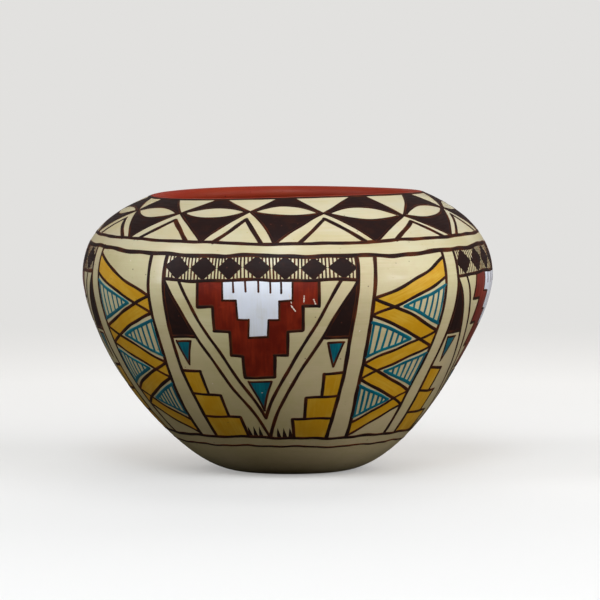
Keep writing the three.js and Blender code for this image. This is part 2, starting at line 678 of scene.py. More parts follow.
@dataclass(frozen=True)
class SlipFinish:
    """A coat of slip rubbed with a smooth stone before the firing."""

    name: str
    tone: Colour
    high: Colour  # the same near the lip; in the cream slip, paler and bluer: a painted sheen of the light from above
    low: Colour  # the same near the foot; in the cream slip, darker and deeper: painted shade towards the bottom
    blush: Colour  # where the fire warmed it
    shade: Colour  # where it is thin or handled
    grit: Colour
    roughness: float
    gloss: float  # weight of the clear burnish over it
    rubbing: float  # depth of the polishing marks, in millimetres
    sheen: float = 0.45  # how strongly its bare surface shines

    def material(self, effects: Effects) -> Material:
        """Build the slip: clouds of tone, polishing tracks, pits, grit and scuffs, with its colour changed
        near the lip and near the foot, which in the cream slip is painted sheen and painted shade.

        Args:
            effects: The shared node groups.

        Returns:
            The material.
        """
        surface = Surface(self.name)
        graph = surface.graph
        cloud, patch = effects.place(surface, Effect.MOTTLE, Scale=17.0)
        wide_grain, fine_grain = effects.place(surface, Effect.MOTTLE, Scale=120.0)
        tracks, lines = effects.place(surface, Effect.RUBBING)
        grit = effects.place(surface, Effect.PITS, Scale=230.0, Size=0.075, Share=0.42)[0]
        pits = effects.place(surface, Effect.PITS, Scale=520.0, Size=0.15, Share=0.34)[0]
        scuffs = effects.place(surface, Effect.WEAR, Height=0.067, Spread=0.018)[0]
        height = graph.node("SeparateXYZ", {0: surface.vector}).outputs[2]
        streak = graph.ramp(graph.total((tracks, 1.0), (lines, 0.60)), 0.58, 1.00)
        rubbed = graph.times(streak, graph.ramp(patch, 0.0, 1.0, 0.22, 0.60))
        colour = graph.layers(
            self.tone,
            # painted sheen: the tone near the lip, from 70 to 86 mm up
            (graph.ramp(height, 0.070, 0.086), self.high),
            # painted shade: the tone near the foot, deepening from 66 mm down to 22 mm
            (graph.ramp(height, 0.066, 0.022), self.low),
            (graph.total((cloud, 0.50), (wide_grain, 0.22), (fine_grain, 0.22)), self.blush),
            (graph.total((rubbed, 1.0), (pits, 0.55)), self.shade),
            (graph.times(scuffs, 0.22), self.shade),
            (graph.times(grit, 0.72), self.grit),
        )
        matt = graph.ramp(streak, 0.0, 1.0, self.roughness - 0.04, self.roughness + 0.07)
        inputs = {
            "Base Color": colour,
            "Roughness": graph.total((matt, 1.0), (scuffs, 0.16), (pits, 0.2)),
            "Coat Weight": graph.ramp(streak, 0.0, 1.0, self.gloss, self.gloss * 0.4),
            "Coat Roughness": 0.14,
            "Coat IOR": 1.45,
            "Specular IOR Level": self.sheen,
        }
        return surface.finish(graph.total((tracks, 1.0), (lines, 0.30), (pits, -1.6)), self.rubbing, inputs)


@dataclass(frozen=True)
class ClayFinish:
    """Bare low-fired clay, smoothed by hand and by what it stands on."""

    name: str
    tone: Colour
    pale: Colour
    grit: Colour
    grain: float = 0.05  # depth of its grain, in millimetres

    def material(self, effects: Effects) -> Material:
        """Build the clay: cloudy tone, sandy grain, pits and temper grains.

        Args:
            effects: The shared node groups.

        Returns:
            The material.
        """
        surface = Surface(self.name)
        graph = surface.graph
        cloud, patch = effects.place(surface, Effect.MOTTLE, Scale=42.0)
        lines = effects.place(surface, Effect.RUBBING, Across=1.6)[1]
        temper = effects.place(surface, Effect.PITS, Scale=620.0, Size=0.24, Share=0.30)[0]
        pits = effects.place(surface, Effect.PITS, Scale=380.0, Size=0.16, Share=0.22)[0]
        rubbed = effects.place(surface, Effect.WEAR, Height=0.0, Spread=0.004)[0]
        sand = graph.noise(surface.vector, 2600.0, 3.0, 0.6)
        colour = graph.layers(
            self.tone,
            (graph.times(cloud, patch), self.pale),
            (graph.times(rubbed, 0.5), self.pale),
            (graph.times(temper, 0.55), self.grit),
        )
        inputs = {"Base Color": colour, "Roughness": graph.ramp(rubbed, 0.0, 1.0, 0.9, 0.66)}
        return surface.finish(graph.total((sand, 0.5), (lines, 0.7), (pits, -1.5)), self.grain, inputs)


@dataclass(frozen=True)
class PaintFinish:
    """A mineral paint laid on with a fine brush, thinner at the edges of each stroke."""

    name: str
    thick: Colour
    thin: Colour
    fleck: Colour
    roughness: float
    gloss: float  # weight of the clear burnish where it is thick
    sheen: float = 0.40  # how strongly its bare surface shines
    hairs: float = 0.4  # how plainly the hairs of the brush show
    flow: float = 0.5  # how much its load comes and goes
    cloud: float = 0.22  # how patchy it is
    ridges: float = 0.025  # depth of the hairs' marks, in millimetres

    def material(self, effects: Effects) -> Material:
        """Build the paint: thin edges, brush hairs, slow flow, flecks and a slight burnish.

        Args:
            effects: The shared node groups.

        Returns:
            The material.
        """
        surface = Surface(self.name)
        graph = surface.graph
        hairs, flow = effects.place(surface, Effect.BRUSH)
        patch = effects.place(surface, Effect.MOTTLE, Scale=60.0)[1]
        flecks = effects.place(surface, Effect.PITS, Scale=560.0, Size=0.20, Share=0.07)[0]
        scuffs = effects.place(surface, Effect.WEAR, Height=0.067, Spread=0.03)[0]
        load = graph.node("Attribute", attribute_name="load").outputs["Fac"]
        body = graph.total((load, 1.0), (hairs, self.hairs), (flow, self.flow), (scuffs, -0.25))
        even = (self.hairs + self.flow) / 2
        cover = graph.ramp(body, even + 0.10, even + 1.00)
        colour = graph.layers(
            self.thin,
            (cover, self.thick),
            (graph.ramp(patch, 0.45, 1.0, 0.0, self.cloud), self.thin),
            (graph.times(flecks, 0.6), self.fleck),
        )
        matt = graph.ramp(hairs, 0.0, 1.0, self.roughness - 0.04, self.roughness + 0.05)
        inputs = {
            "Base Color": colour,
            "Roughness": graph.total((matt, 1.0), (scuffs, 0.15)),
            "Coat Weight": graph.ramp(cover, 0.0, 1.0, self.gloss * 0.4, self.gloss) if self.gloss else 0.0,
            "Coat Roughness": 0.16,
            "Specular IOR Level": self.sheen,
        }
        return surface.finish(graph.total((hairs, 0.5), (flow, 1.0)), self.ridges, inputs)


class Paint(Enum):
    """The paints that the films are laid in."""

    DARK = "dark_paint"
    RED = "red_paint"
    YELLOW = "yellow_paint"
    TURQUOISE = "turquoise_paint"
    WHITE = "white_paint"
    BARE = "cream_slip"  # slip that shows where paint has chipped off


CREAM = SlipFinish(
    "cream_slip",
    tone=(221, 211, 161),
    # high is a painted sheen near the lip, paler and bluer than the tone
    high=(208, 200, 168),
    # low is painted shade towards the foot, darker and deeper than the tone
    low=(198, 181, 124),
    blush=(216, 194, 151),
    shade=(194, 178, 122),
    grit=(92, 62, 40),
    roughness=0.33,
    gloss=0.52,
    rubbing=0.040,
)
RED_LINING = SlipFinish(
    "red_slip",
    tone=(145, 51, 25),
    high=(138, 52, 27),
    low=(144, 46, 26),
    blush=(146, 44, 28),
    shade=(124, 36, 24),
    grit=(60, 18, 12),
    roughness=0.50,
    gloss=0.03,
    rubbing=0.035,
    sheen=0.18,
)
CLAY = ClayFinish("fired_clay", tone=(176, 128, 88), pale=(196, 156, 116), grit=(96, 66, 48))
PAINTS: dict[Paint, PaintFinish] = {
    Paint.DARK: PaintFinish(
        "dark_paint", (39, 25, 22), (100, 48, 20), (84, 46, 34), 0.46, 0.02, 0.10, 0.24, 0.34, 0.07
    ),
    Paint.RED: PaintFinish(
        "red_paint", (105, 23, 9), (152, 47, 22), (86, 20, 14), 0.35, 0.16, 0.35, 0.28, 0.46
    ),
    Paint.YELLOW: PaintFinish(
        "yellow_paint", (210, 152, 18), (222, 176, 60), (150, 100, 30), 0.35, 0.20, 0.4, 0.42, 0.5
    ),
    Paint.TURQUOISE: PaintFinish(
        "turquoise_paint", (0, 86, 100), (14, 126, 132), (10, 56, 66), 0.36, 0.16, 0.35, 0.5, 0.5
    ),
    Paint.WHITE: PaintFinish(
        "white_paint", (243, 245, 250), (232, 230, 224), (180, 176, 168), 0.34, 0.25, 0.4, 0.32, 0.4, 0.14
    ),
    Paint.BARE: PaintFinish(
        "chipped_slip", (246, 234, 214), (222, 190, 166), (160, 128, 98), 0.55, 0.0, 0.4, 0.3, 0.2
    ),
}


@dataclass
class Film:
    """Thin closed solids of one paint, gathered into one piece."""

    name: str
    paint: Paint
    points: list[Array] = field(default_factory=list)
    faces: list[Array] = field(default_factory=list)
    marks: list[Array] = field(default_factory=list)
    load: list[Array] = field(default_factory=list)
    count: int = 0

    def add(self, points: Array, quads: Array, marks: Array, load: Array) -> None:
        """Add one solid, with vertices at the same place made one and empty faces left out.

        Args:
            points: Vertices in millimetres.
            quads: Four vertex numbers for each face.
            marks: Brush coordinates of each vertex.
            load: Thickness of the paint at each vertex.
        """
        keys = np.round(points * 1e4).astype(np.int64)
        _, first, where = np.unique(keys, axis=0, return_index=True, return_inverse=True)
        faces = triangles(where.ravel()[quads])
        one, two, three = faces.T
        self.faces.append(faces[(one != two) & (two != three) & (three != one)] + self.count)
        self.points.append(points[first])
        self.marks.append(marks[first])
        self.load.append(load[first])
        self.count += len(first)

    def build(self) -> Object:
        """Write the piece's mesh."""
        stacks = [np.concatenate(part) for part in (self.points, self.faces, self.marks, self.load)]
        return write_mesh(self.name, *stacks)


ROUND = ((-1, 0), (-0.84, 0.72), (-0.42, 0.95), (0, 1), (0.42, 0.95), (0.84, 0.72), (1, 0))
PLAIN = ((-1, 0), (-0.5, 0.9), (0.5, 0.9), (1, 0))


@dataclass(frozen=True)
class Brush:
    """A brush and the hand that holds it, in millimetres."""

    width: float
    crown: float = 0.085  # height of the paint over the slip
    load: float = 0.80
    sway: float = 0.08  # how far the line wanders to each side
    swell: float = 0.11  # share by which its width comes and goes
    restless: float = 1.0  # how much closer together its changes of width come
    overshoot: float = 0.30  # how far it may run past its end
    step: float = 1.2
    profile: tuple[Place, ...] = ROUND  # section of the line, as shares of half its width and of its crown


BOLD = Brush(1.55, load=1.00)
LINE = Brush(1.28, load=0.95)
FINE = Brush(0.88, load=0.80)
HAIR = Brush(0.76, crown=0.080, load=0.84, sway=0.04, overshoot=0.12, step=2.4, profile=PLAIN)
BAY_LINE = Brush(1.00, load=0.95, sway=0.05, overshoot=0.1)
NECK_EDGE = Brush(0.88, load=1.00, sway=0.06, overshoot=0.15)
SUNK = -0.05  # depth to which the edges and the underside of a film go into the slip
PER_CENTIMETRE = 0.1  # brush coordinates are in centimetres


class Canvas:
    """Lays brush lines and areas on the bowl as thin films that follow its skin."""

    FRAMING_HEIGHT = 78.5  # middle of the ring between the two framing lines
    FRAMING_RISE = 1.5  # how much higher they run at the bowl's sides than at its front and back
    FRAMING_REACH = 12.0  # how far from there the hand still follows them
    LIP_HOLD = 6.0  # how far under the lip the hand starts to keep to its edge
    SWINGS = (
        (1.0, 7, 9.0),
        (0.7, 16, -6.0),
        (0.5, 29, 13.0),
        (1.0, 5, 14.0),
        (0.7, 13, -8.0),
        (0.4, 31, 10.0),
    )  # the hand's drift, three waves sideways and three upwards: size, waves round the bowl, pitch
    TIP_STOPS = (0.0, 0.12, 0.45, 1.0)  # where a line's rounded tip is cut
    WIDTH_WAVES = (8.5, 17.0, 37.0)  # wavelengths of a line's width, of its wander and of its load
    SWAY_WAVES = (37.0, 19.0, 9.5)
    LOAD_WAVES = (9.0, 19.0, 43.0)
    FIELD_HEIGHT = 0.030  # height of a painted area over the slip
    RIM = (0.05, 0.22)  # how far inside an area's edge its first two cuts lie
    MOST_RIM = 0.45  # the same as the largest share of the area
    SHORTEST = 0.6  # hatching that spans less, degrees and millimetres together, is left out

    def __init__(self, form: Form, title: str, seed: int, drift: float) -> None:
        """Start a canvas.

        Args:
            form: The bowl.
            title: First word of the name of each piece.
            seed: Start of the random draws.
            drift: How far the hand strays over the whole design, in millimetres.
        """
        self.form = form
        self.title = title
        self.random = np.random.default_rng(seed)
        self.drift = drift
        self.phases = self.random.uniform(0.0, 2.0 * math.pi, 8)  # the drift takes six, and two are spare
        self.films: dict[tuple[Paint, str], Film] = {}

    def film(self, paint: Paint, kind: str) -> Film:
        """Find or start the piece for one paint and one kind of mark, the last word of its name."""
        word = "chipped" if paint is Paint.BARE else paint.value.removesuffix("_paint")
        return self.films.setdefault((paint, kind), Film(f"{self.title}_{word}_{kind}", paint))

    def stray(self, places: Array) -> Array:
        """Move places by the slow drift of the hand: waves that run round the bowl and along the wall.

        Near the framing lines, the hand also climbs towards the bowl's two sides. At the lip it keeps to the
        edge.

        Args:
            places: Angles in degrees and distances, in the last axis.

        Returns:
            The moved places.
        """
        angle, distance = places[..., 0], places[..., 1]
        turn = np.radians(angle)
        swings = [
            size * np.sin(count * turn + distance / pitch + phase)
            for (size, count, pitch), phase in zip(self.SWINGS, self.phases)
        ]
        shift = np.degrees(self.drift * sum(swings[:3]) / self.form.radius(distance))
        off = np.abs(distance - self.form.distance_at(self.FRAMING_HEIGHT))
        climb = self.FRAMING_RISE * (1.0 - smoothstep(off / self.FRAMING_REACH)) * np.sin(turn) ** 2
        held = smoothstep((self.form.length - distance) / self.LIP_HOLD)
        lift = held * (self.drift * sum(swings[3:]) + climb)
        return np.stack([angle + shift, distance + lift], axis=-1)

    def wave(self, run: Array, lengths: Triple) -> Array:
        """Draw a restless curve between about -1 and 1, as three sines of the run.

        Args:
            run: Where it is wanted, in millimetres along the line.
            lengths: The three wavelengths.

        Returns:
            Its value at each place.
        """
        phases = self.random.uniform(0.0, 2.0 * math.pi, 3)
        parts = [np.sin(2 * math.pi * run / length + phase) for length, phase in zip(lengths, phases)]
        return 0.5 * parts[0] + 0.35 * parts[1] + 0.25 * parts[2]

    def cuts(self, length: float, brush: Brush) -> tuple[Array, float]:
        """Cut a line into even steps between two rounded tips, which may run past its ends.

        Args:
            length: Length of the line.
            brush: The brush.

        Returns:
            Where it is cut, and the length of a tip.
        """
        over = 0.35 * brush.width + self.random.uniform(-0.2, 1.0, 2) * brush.overshoot
        first, last = -over[0], length + over[1]
        tip = min(brush.width * 0.5, (last - first) * 0.4)
        ends = tip * np.array(self.TIP_STOPS)
        count = max(1, math.ceil((last - first - 2 * tip) / brush.step))
        inner = np.linspace(first + tip, last - tip, count + 1)[1:-1]
        return np.concatenate([first + ends, inner, last - ends[::-1]]), tip

    @staticmethod
    def reach(stops: Array, run: Array, values: Array) -> Array:
        """Follow a polyline, and go on past both ends along its first and last piece.

        Args:
            stops: Where its value is wanted.
            run: Distance along it of each of its points.
            values: Value at each of its points.

        Returns:
            The value at each stop.
        """
        inside = np.interp(stops, run, values)
        before = values[0] + (stops - run[0]) * (values[1] - values[0]) / max(run[1] - run[0], TINY)
        after = values[-1] + (stops - run[-1]) * (values[-1] - values[-2]) / max(run[-1] - run[-2], TINY)
        return np.where(stops < run[0], before, np.where(stops > run[-1], after, inside))

    def line(
        self, path: Sequence[Place], brush: Brush, paint: Paint = Paint.DARK, kind: str = "lines"
    ) -> None:
        """Draw one brush line.

        The path is cut into even steps. At each step the brush's profile lies across the path: its sides
        follow the width, which swells and shrinks, and its height is the profile's times the crown.
        Both ends close in a rounded tip. The load of paint thins towards the sides and the tips, comes and
        goes along the line, and dries up from its start to its end.

        Args:
            path: Places that the line joins.
            brush: The brush.
            paint: The paint.
            kind: Last word of the piece's name.
        """
        places = np.asarray(path, float)
        aside = np.radians(places[1:, 0] - places[:-1, 0])
        aside = aside * self.form.radius((places[1:, 1] + places[:-1, 1]) / 2)
        run = np.concatenate([[0.0], np.cumsum(np.hypot(aside, places[1:, 1] - places[:-1, 1]))])
        stops, tip = self.cuts(run[-1], brush)
        first, last = stops[0], stops[-1]
        centre = self.stray(np.stack([self.reach(stops, run, places[:, k]) for k in (0, 1)], axis=-1))
        radius = self.form.radius(centre[:, 1])
        flat = np.stack([np.radians(centre[:, 0]) * radius.mean(), centre[:, 1]], axis=-1)
        along = np.gradient(flat, axis=0)
        along /= np.maximum(np.linalg.norm(along, axis=1, keepdims=True), TINY)
        past = np.minimum(stops - first, last - stops)
        rounding = np.sqrt(1.0 - (1.0 - np.clip(past / tip, 0.0, 1.0)) ** 2)
        width = brush.width * (1.0 + brush.swell * self.wave(stops * brush.restless, self.WIDTH_WAVES))
        half = 0.5 * width * rounding
        sway = brush.sway * self.wave(stops, self.SWAY_WAVES)
        across, height = np.array(brush.profile, float).T
        offset = sway[:, None] + half[:, None] * across
        angle = centre[:, 0, None] + np.degrees(offset * -along[:, 1, None] / radius[:, None])
        distance = centre[:, 1, None] + offset * along[:, 0, None]
        lift = SUNK + (brush.crown - SUNK) * height * np.clip(rounding, 0.0, 1.0)[:, None]
        start = self.random.uniform(0.0, 50.0)
        length = (stops * PER_CENTIMETRE + start)[:, None]
        marks = np.stack(np.broadcast_arrays(offset * PER_CENTIMETRE + start, length), axis=-1)
        edge = 1.0 - 0.88 * np.abs(across) ** 3.2
        flow = 1.0 + 0.30 * self.wave(stops, self.LOAD_WAVES)
        dry = 1.12 - 0.30 * (stops - first) / (last - first)
        load = brush.load * (flow * dry)[:, None] * edge * (0.45 + 0.55 * rounding[:, None])
        self.film(paint, kind).add(
            self.form.place(angle, distance, lift).reshape(-1, 3),
            grid(*angle.shape, columns_meet=True),
            marks.reshape(-1, 2),
            load.ravel(),
        )

    def area(
        self,
        first: Sequence[Place],
        second: Sequence[Place],
        paint: Paint,
        height: float = FIELD_HEIGHT,
        step: float = 1.5,
    ) -> None:
        """Fill the area between two edges.

        Each point is a place on the first edge moved a share of the way to the matching place on the second.
        The film is a closed slab: its top lies over the slip, and its rim and its underside are sunk in it.

        Args:
            first: Places on one edge.
            second: As many places on the other edge.
            paint: The paint.
            height: Height of the film over the slip.
            step: Longest step over the area.
        """
        edges = np.stack([np.asarray(first, float), np.asarray(second, float)])
        scale = np.array([math.radians(1.0) * float(self.form.radius(edges[..., 1].mean())), 1.0])
        lengths = np.linalg.norm(np.diff(edges, axis=1) * scale, axis=-1).max(axis=0)
        rim = np.array(self.RIM)
        start_rim, end_rim = (np.minimum(rim / max(lengths[k], TINY), self.MOST_RIM) for k in (0, -1))
        stops = [np.zeros(1), start_rim, len(lengths) - end_rim]
        for index, length in enumerate(lengths):
            count = max(1, math.ceil(length / step))
            stops.append(index + np.arange(1, count + 1) / count)
        along = np.unique(np.concatenate(stops))
        knots = np.arange(edges.shape[1])
        sides = np.stack([[np.interp(along, knots, edge[:, k]) for k in (0, 1)] for edge in edges])
        near, far = sides.transpose(0, 2, 1)
        span = np.linalg.norm((far - near) * scale, axis=-1)
        inset = np.minimum(rim / np.maximum(span, TINY)[:, None], self.MOST_RIM)
        even = np.linspace(0.0, 1.0, max(2, math.ceil(float(span.max()) / step) + 1))[1:-1]
        middle = inset[:, 1:] + (1.0 - 2.0 * inset[:, 1:]) * even
        none = np.zeros((len(along), 1))
        share = np.concatenate([none, inset, middle, 1 - inset[:, ::-1], none + 1.0], axis=1)
        places = near[:, None, :] * (1 - share[..., None]) + far[:, None, :] * share[..., None]
        places = self.stray(places)
        edge = np.ones(share.shape, bool)
        edge[1:-1, 1:-1] = False
        lifts = (np.where(edge, SUNK, height), SUNK)
        top, under = (self.form.place(places[..., 0], places[..., 1], lift).reshape(-1, 3) for lift in lifts)
        quads = grid(*share.shape)
        flat = places * scale
        ahead, aside = np.diff(flat, axis=0)[:, :-1], np.diff(flat, axis=1)[:-1]
        if (ahead[..., 0] * aside[..., 1] - ahead[..., 1] * aside[..., 0]).sum() < 0:
            quads = quads[:, ::-1]
        course = (edges[:, -1] - edges[:, 0]).sum(axis=0) * scale
        course /= max(float(np.hypot(*course)), TINY)
        marks = np.stack([flat @ np.array([-course[1], course[0]]), flat @ course], axis=-1) * PER_CENTIMETRE
        load = np.where(edge, 0.3, 1.12 if paint is Paint.DARK else 0.76)
        self.film(paint, "fields").add(
            np.concatenate([top, under]),
            np.vstack([quads, quads[:, ::-1] + share.size]),
            np.tile(marks.reshape(-1, 2), (2, 1)),
            np.tile(load.ravel(), 2),
        )

    def hatch(
        self, first: Sequence[Place], second: Sequence[Place], count: int, brush: Brush, paint: Paint
    ) -> None:
        """Draw parallel lines from one edge to another, evenly spaced along both.

        Args:
            first: Places on one edge.
            second: Places on the other edge.
            count: How many lines.
            brush: The brush.
            paint: The paint.
        """
        for share in (np.arange(count) + 0.5) / count:
            ends = []
            for edge in (np.asarray(first, float), np.asarray(second, float)):
                knots = np.linspace(0.0, 1.0, len(edge))
                ends.append(tuple(np.interp(share, knots, edge[:, k]) for k in (0, 1)))
            if abs(ends[0][1] - ends[1][1]) + abs(ends[0][0] - ends[1][0]) > self.SHORTEST:
                self.line(ends, brush, paint, "hatching")

    def ring(self, distance: float, brush: Brush, start: float) -> None:
        """Draw a line all the way round, with its two ends laid over each other by three degrees."""
        angles = np.linspace(start, start + 363.0, 181)
        self.line([(angle, distance) for angle in angles], brush)

    def build(self, finishes: dict[Paint, Material]) -> None:
        """Write and dress every piece."""
        for film in self.films.values():
            dress(film.build(), finishes[film.paint])


@dataclass(frozen=True)
class Tip:
    """Where two diamonds meet, with the chevron below; each place is an angle and a depth under the lip."""

    angle: float
    depth: float
    apex: Place
    feet: Place  # angles of the chevron's left and right foot


@dataclass(frozen=True)
class Diamond:
    """The diamond to the right of a tip: its cut-off top and lowest point as angles, its eye as depths."""

    middle: float
    flat_half: float
    point: float
    lid: float = 7.0
    lash: float = 13.0


@dataclass(frozen=True)
class NeckBand:
    """Dark diamonds with a cream eye in each, side by side under the lip, and a chevron in each gap."""

    form: Form
    seen_tips: tuple[Tip, ...] = (
        Tip(-66.4, 9.3, (-67.0, 14.1), (-75.5, -57.3)),
        Tip(-39.0, 10.3, (-38.5, 14.2), (-49.0, -30.3)),
        Tip(-12.5, 9.2, (-13.0, 13.5), (-21.4, -7.4)),
        Tip(13.0, 11.1, (12.7, 14.0), (3.5, 24.0)),
        Tip(41.6, 13.7, (43.0, 16.5), (33.6, 53.4)),
        Tip(70.1, 10.7, (70.6, 14.3), (60.5, 79.0)),
    )
    seen_diamonds: tuple[Diamond, ...] = (
        Diamond(-56.2, 6.6, -53.9, 6.9, 12.9),
        Diamond(-26.9, 1.7, -25.2, 6.1, 12.8),
        Diamond(0.3, 2.8, -3.5, 5.7, 11.2),
        Diamond(30.3, 3.2, 27.1, 7.7, 14.7),
        Diamond(59.2, 2.8, 57.1, 7.8, 14.4),
    )
    hidden: int = 7  # more tips round the back, evenly spaced
    lip_line: float = 0.54  # depth of the line at the lip
    hollow: float = 0.8  # how far a diamond's lower edges bend in, as an angle
    bottom_height: float = 80.6

    @property
    def bottom(self) -> float:
        """Depth of the band's lower line under the lip."""
        return self.form.length - self.form.distance_at(self.bottom_height)

    def layout(self, draw: np.random.Generator) -> tuple[list[Tip], list[Diamond]]:
        """Add the hidden tips and diamonds to the seen ones.

        Args:
            draw: The random draws.

        Returns:
            All the tips, the first again at the end, and the diamonds between them.
        """
        tips, diamonds = list(self.seen_tips), list(self.seen_diamonds)
        first, last = tips[0], tips[-1].angle
        back = first.angle + 360.0
        gap = (back - last) / (self.hidden + 1)
        for i in range(self.hidden):
            angle = last + gap * (i + 1)
            apex = (angle + draw.uniform(-0.8, 0.5), 13.5 + draw.uniform(-0.5, 1.2))
            feet = (angle - draw.uniform(8.2, 9.6), angle + draw.uniform(8.2, 9.6))
            tips.append(Tip(angle, 10.0 + draw.uniform(-0.7, 1.2), apex, feet))
        tips.append(Tip(back, first.depth, first.apex, first.feet))
        for left, right in list(zip(tips, tips[1:]))[len(diamonds):]:
            middle = (left.angle + right.angle) / 2
            diamonds.append(Diamond(middle + draw.uniform(-0.8, 0.6), 3.2, middle + draw.uniform(-0.5, 1.4)))
        return tips, diamonds

    def paint(self, canvas: Canvas) -> None:
        """Draw the band: dark areas round each eye, their edges, the chevrons and both framing lines.

        Args:
            canvas: Where it is drawn.
        """
        lip, bottom, draw = self.form.length, self.bottom, canvas.random
        tips, diamonds = self.layout(draw)
        for left, right, diamond in zip(tips, tips[1:], diamonds):
            self.diamond(canvas, left, right, diamond)
        for tip in tips[:-1]:
            top = (tip.apex[0], lip - tip.apex[1])
            for foot, weight in zip(tip.feet, draw.uniform(1.45, 1.80, 2)):
                bow = ((top[0] + foot) / 2 + draw.uniform(-0.3, 0.5), lip - (tip.apex[1] + bottom) / 2)
                canvas.line([top, bow, (foot, lip - bottom)], Brush(weight, load=draw.uniform(0.92, 1.10)))
            knot = draw.uniform(1.9, 2.6)
            canvas.line([(tip.angle + aside, lip - tip.depth) for aside in (-knot, knot)], NECK_EDGE)
        canvas.ring(lip - self.lip_line, Brush(1.25, load=1.1, sway=0.06), 118.0)
        canvas.ring(lip - bottom, Brush(1.38, load=0.95, sway=0.12), 152.0)

    def lower_edge(self, tip: Tip, low: float) -> Array:
        """Follow a diamond's lower edge, which a parabola bends inwards.

        Args:
            tip: Where it starts.
            low: Angle at which it reaches the band's lower line.

        Returns:
            One row of angle and depth for each point.
        """
        share = np.linspace(0.0, 1.0, 6)
        bend = math.copysign(self.hollow, low - tip.angle) * 4.0 * share * (1.0 - share)
        depth = tip.depth + (self.bottom - tip.depth) * share
        return np.stack([tip.angle + (low - tip.angle) * share + bend, depth], axis=1)

    def diamond(self, canvas: Canvas, left: Tip, right: Tip, diamond: Diamond) -> None:
        """Fill one diamond above and below its eye, and draw its four edges.

        The eye is the space between two parabolas that meet at its tips.

        Args:
            canvas: Where it is drawn.
            left: Its left tip.
            right: Its right tip.
            diamond: Its cut-off top, its lowest point and its eye.
        """
        lip, draw = self.form.length, canvas.random
        inset = draw.uniform(1.3, 2.0)
        eye_left, eye_right = left.angle + inset, right.angle - inset
        waist_depth = (left.depth + right.depth) / 2
        rise = waist_depth - diamond.lid + draw.uniform(-0.4, 0.4)
        fall = diamond.lash - waist_depth + draw.uniform(-0.5, 0.6)
        foot = draw.uniform(0.05, 0.30)
        top_left, top_right = diamond.middle - diamond.flat_half, diamond.middle + diamond.flat_half
        left_edge = self.lower_edge(left, diamond.point - foot)
        right_edge = self.lower_edge(right, diamond.point + foot)
        corners = (left.angle, top_left, top_right, right.angle)
        lows = np.vstack([left_edge, right_edge[::-1]])
        sweep = np.unique(np.concatenate([np.linspace(left.angle, right.angle, 25), corners, lows[:, 0]]))
        waist = np.interp(sweep, (left.angle, right.angle), (left.depth, right.depth))
        place = np.clip((sweep - eye_left) / (eye_right - eye_left), 0.0, 1.0)
        bulge = 4.0 * place * (1.0 - place)
        lid, lash = waist - bulge * rise, waist + bulge * fall
        roof = np.interp(sweep, corners, (left.depth, self.lip_line, self.lip_line, right.depth))
        keel = np.interp(sweep, *lows.T)
        for near, far in ((roof, lid), (lash, keel)):
            canvas.area(list(zip(sweep, lip - near)), list(zip(sweep, lip - far)), Paint.DARK, step=1.3)
        for tip, corner, edge in ((left, top_left, left_edge), (right, top_right, right_edge)):
            canvas.line([(corner, lip - self.lip_line), (tip.angle, lip - tip.depth)], NECK_EDGE)
            wander = draw.uniform(-0.3, 0.3) * np.sin(np.linspace(0.0, math.pi, len(edge)))
            canvas.line(list(zip(edge[:, 0] + wander, lip - edge[:, 1])), NECK_EDGE)
        keep = (sweep >= eye_left) & (sweep <= eye_right)
        for line in (lid, lash):
            canvas.line(list(zip(sweep[keep], lip - line[keep])), NECK_EDGE)


@dataclass(frozen=True)
class Panel:
    """One panel of the wide band, painted on its canvas: across runs from -1 to 1, and up from 0 to 1."""

    canvas: Canvas
    middle: float  # angle of its middle
    half: float  # half its angle, to the middle of the bars beside it
    low: float  # distances of its lower and upper line
    high: float
    bar: float  # width of a bar, line to line

    def at(self, points: Sequence[Place], parts: int = 8) -> list[Place]:
        """Turn panel points into places on the bowl.

        Args:
            points: Two or more points, joined by straight pieces.
            parts: How many short parts each piece is cut into.

        Returns:
            A place for each cut.
        """
        knots = np.arange(len(points))
        fine = np.linspace(0, len(points) - 1, parts * (len(points) - 1) + 1)
        across, up = [np.interp(fine, knots, column) for column in np.array(points, float).T]
        distance = self.low + up * (self.high - self.low)
        edge = self.half - np.degrees(self.bar / 2 / self.canvas.form.radius(distance))
        return list(zip(self.middle + across * edge, distance))

    def line(self, brush: Brush, *points: Place, parts: int = 8) -> None:
        """Draw a dark line through panel points."""
        self.canvas.line(self.at(points, parts), brush)

    def fill(
        self, paint: Paint, first: Sequence[Place], second: Sequence[Place], parts: int = 8, **sizes: float
    ) -> None:
        """Fill the area between two edges given as panel points."""
        self.canvas.area(self.at(first, parts), self.at(second, parts), paint, **sizes)

    def drop(self, left: Place, right: Place, tip: Place) -> None:
        """Draw a small turquoise triangle with dark edges.

        Args:
            left: Its upper left corner.
            right: Its upper right corner.
            tip: Its lowest one.
        """
        self.fill(Paint.TURQUOISE, (left, tip), (right, tip))
        for ends in ((left, right), (right, tip), (tip, left)):
            self.line(FINE, *ends)


